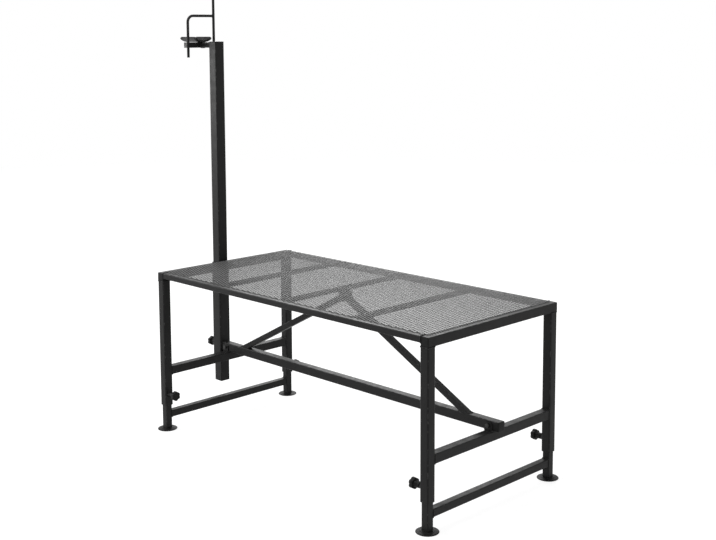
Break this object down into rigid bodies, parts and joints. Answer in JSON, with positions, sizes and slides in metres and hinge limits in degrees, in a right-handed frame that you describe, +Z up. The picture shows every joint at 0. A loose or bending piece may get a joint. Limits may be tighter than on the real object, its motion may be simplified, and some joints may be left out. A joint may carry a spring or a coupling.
{
  "type": "livestock trimming and milking stand",
  "caption": "Knee-high see-through mesh deck on telescoping legs, with a sliding square post at the head end that carries a chin cradle and an adjustable nose loop.",
  "frame": {"origin": "on the floor under the feet, below the middle of the whole object's length and width", "axes": "+Z up; +X along the deck towards the tail end, with the post and headpiece at -X; +Y across the deck, to the animal's right as it faces the post"},
  "size_m": [1.5204, 0.648, 1.6173],
  "materials": {
    "frame_coat": "charcoal powder coat on steel tube, satin, faintly textured",
    "mesh_coat": "charcoal powder coat on expanded steel mesh",
    "black_zinc": "black zinc-plated steel, dull",
    "black_plastic": "moulded black plastic, matte",
    "rubber_pad": "black rubber pad, matte"
  },
  "bodies": {
    "base": {"deck_end_rail_head": "frame_coat", "deck_end_rail_tail": "frame_coat", "deck_side_rail_near": "frame_coat", "deck_side_rail_far": "frame_coat", "deck_cross_member_1": "frame_coat", "deck_cross_member_2": "frame_coat", "deck_cross_member_3": "frame_coat", "deck_plug_head_near": "black_plastic", "deck_plug_head_far": "black_plastic", "deck_plug_tail_near": "black_plastic", "deck_plug_tail_far": "black_plastic", "deck_mesh": "mesh_coat", "outer_leg_head_near": "frame_coat", "outer_leg_head_far": "frame_coat", "outer_leg_tail_near": "frame_coat", "outer_leg_tail_far": "frame_coat", "mid_rail_head": "frame_coat", "mid_rail_tail": "frame_coat", "stretcher": "frame_coat", "stretcher_plug": "black_plastic", "stretcher_saddle_head": "frame_coat", "stretcher_saddle_tail": "frame_coat", "stretcher_bolt_head": "black_zinc", "stretcher_bolt_tail": "black_zinc", "stretcher_nut_head": "black_zinc", "stretcher_nut_tail": "black_zinc", "brace_head": "frame_coat", "brace_tail": "frame_coat", "brace_bracket": "frame_coat", "brace_bolt_head": "black_zinc", "brace_bolt_tail": "black_zinc", "brace_nut_head": "black_zinc", "brace_nut_tail": "black_zinc", "post_sleeve": "frame_coat", "sleeve_plate": "frame_coat"},
    "lower_frame_head": {"inner_leg_head_near": "frame_coat", "inner_leg_head_far": "frame_coat", "low_rail_head": "frame_coat", "foot_head_near": "black_plastic", "foot_head_far": "black_plastic"},
    "lower_frame_tail": {"inner_leg_tail_near": "frame_coat", "inner_leg_tail_far": "frame_coat", "low_rail_tail": "frame_coat", "foot_tail_near": "black_plastic", "foot_tail_far": "black_plastic"},
    "leg_knob_head_near": {"leg_knob_head_near": "black_plastic"},
    "leg_knob_head_far": {"leg_knob_head_far": "black_plastic"},
    "leg_knob_tail_near": {"leg_knob_tail_near": "black_plastic"},
    "leg_knob_tail_far": {"leg_knob_tail_far": "black_plastic"},
    "post": {"head_post": "frame_coat", "post_plug": "black_plastic", "head_arm": "frame_coat", "chin_bar": "frame_coat", "chin_cradle": "frame_coat", "chin_pad": "rubber_pad"},
    "post_knob": {"post_knob": "black_plastic"},
    "nose_loop": {"nose_loop": "frame_coat", "nose_loop_cap": "black_plastic"},
    "loop_thumb_screw": {"loop_thumb_screw": "black_plastic"}
  },
  "joints": [
    {"name": "head_legs_extend", "type": "slide", "parent": "base", "child": "lower_frame_head", "axis": [0, 0, -1], "range_m": [-0.019, 0.18]},
    {"name": "tail_legs_extend", "type": "slide", "parent": "base", "child": "lower_frame_tail", "axis": [0, 0, -1], "range_m": [-0.019, 0.18]},
    {"name": "leg_knob_head_near_turn", "type": "hinge", "parent": "base", "child": "leg_knob_head_near", "pos_m": [-0.52565, -0.289, 0.132], "axis": [1, 0, 0], "range_deg": [0, 720]},
    {"name": "leg_knob_head_far_turn", "type": "hinge", "parent": "base", "child": "leg_knob_head_far", "pos_m": [-0.52565, 0.289, 0.132], "axis": [1, 0, 0], "range_deg": [0, 720]},
    {"name": "leg_knob_tail_near_turn", "type": "hinge", "parent": "base", "child": "leg_knob_tail_near", "pos_m": [0.70535, -0.289, 0.132], "axis": [-1, 0, 0], "range_deg": [0, 720]},
    {"name": "leg_knob_tail_far_turn", "type": "hinge", "parent": "base", "child": "leg_knob_tail_far", "pos_m": [0.70535, 0.289, 0.132], "axis": [-1, 0, 0], "range_deg": [0, 720]},
    {"name": "post_raise", "type": "slide", "parent": "base", "child": "post", "axis": [0, 0, 1], "range_m": [-0.085, 0.12]},
    {"name": "post_knob_turn", "type": "hinge", "parent": "base", "child": "post_knob", "pos_m": [-0.60965, 0, 0.252], "axis": [-1, 0, 0], "range_deg": [0, 720]},
    {"name": "nose_loop_raise", "type": "slide", "parent": "post", "child": "nose_loop", "axis": [0, 0, 1], "range_m": [-0.05, 0.03]},
    {"name": "loop_thumb_screw_turn", "type": "hinge", "parent": "post", "child": "loop_thumb_screw", "pos_m": [-0.68815, 0.06, 1.379], "axis": [-1, 0, 0], "range_deg": [0, 720]}
  ]
}
